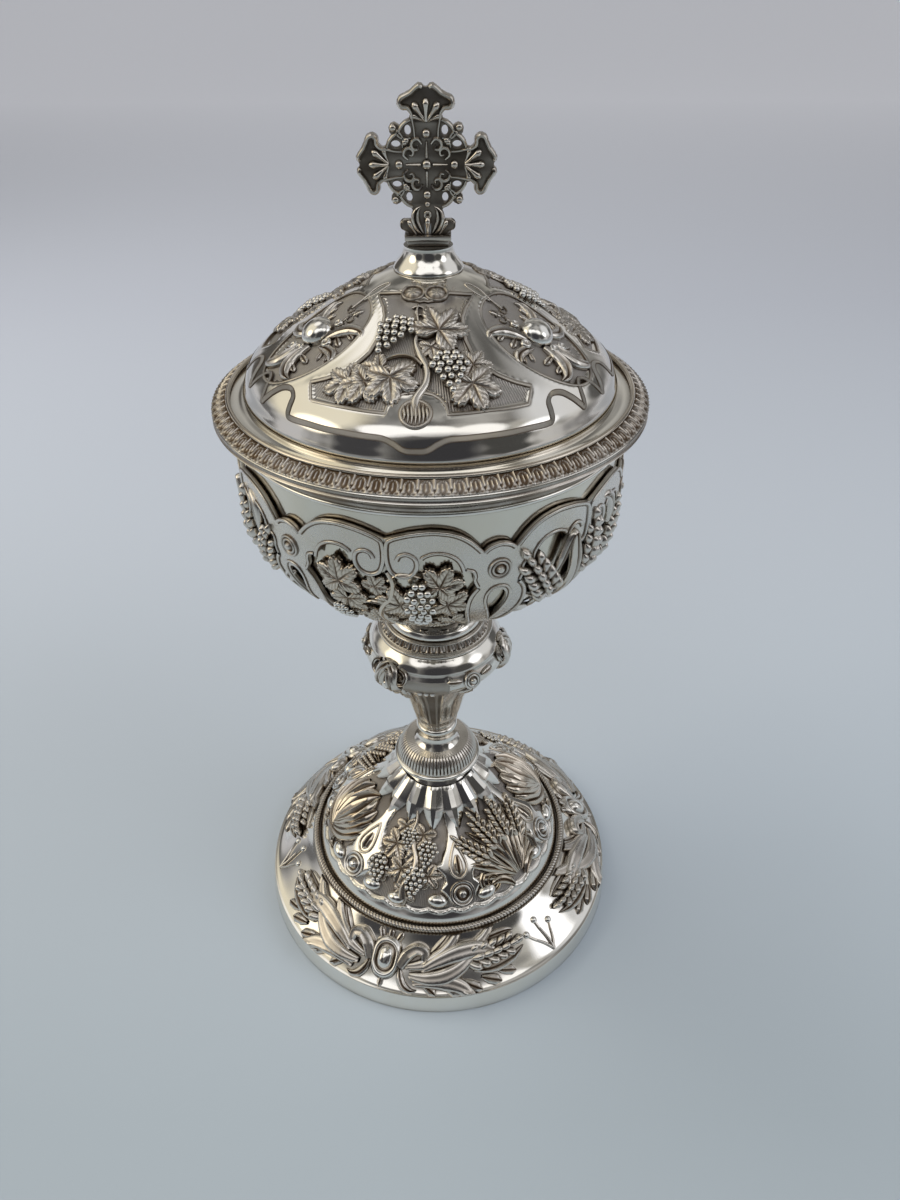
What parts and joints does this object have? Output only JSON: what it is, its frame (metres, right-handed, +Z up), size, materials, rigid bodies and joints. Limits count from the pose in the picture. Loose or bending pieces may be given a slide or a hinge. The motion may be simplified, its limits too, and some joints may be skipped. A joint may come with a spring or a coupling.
{
  "type": "ciborium",
  "caption": "Covered cup in silver: smooth bowl in a pierced calyx, knopped stem, embossed round foot and a lift-off domed lid with a pierced cross.",
  "frame": {"origin": "centre of the foot's round rim, on the surface that it stands on", "axes": "+Z up along the stem, -Y towards the front, where the flat of the cross faces, +X to the right"},
  "size_m": [0.15, 0.15, 0.3079],
  "materials": {
    "silver_polished": "hand-polished silver, slightly warm, with fine scratches",
    "silver_embossed": "embossed and chased silver, bright on the high places and brown-grey in the recesses",
    "silver_satin": "satin grey silver casting with dark borders and recesses",
    "silver_oxidised": "darkened silver casting with bright worn edges",
    "steel_fittings": "plain turned metal"
  },
  "bodies": {
    "vessel": {"foot_rim": "silver_polished", "foot_flange": "silver_embossed", "foot_cord_ring": "silver_embossed", "foot_dome": "silver_embossed", "leaf_collar": "silver_polished", "base_disc": "silver_polished", "fluted_ring": "silver_embossed", "stem_neck": "silver_polished", "neck_ring": "silver_polished", "knop": "silver_embossed", "knop_tube": "steel_fittings", "knop_band": "silver_embossed", "stem_top_ring": "silver_polished", "cup": "silver_polished", "cup_rim_moulding": "silver_polished", "cup_boss": "steel_fittings", "calyx": "silver_satin", "tie_rod": "steel_fittings", "foot_washer": "steel_fittings", "foot_nut": "steel_fittings"},
    "lid": {"lid_seat_ring": "silver_polished", "lid_bezel": "silver_polished", "lid_flange": "silver_polished", "lid_gallery_band": "silver_embossed", "lid_bead_wire": "silver_polished", "lid_dome": "silver_embossed", "finial_collar": "silver_polished", "cross": "silver_oxidised", "cross_washer": "steel_fittings", "cross_nut": "steel_fittings", "cross_stud": "steel_fittings"}
  },
  "joints": [
    {"name": "lid_lift", "type": "slide", "parent": "vessel", "child": "lid", "axis": [0, 0, 1], "range_m": [0, 0.08]}
  ]
}
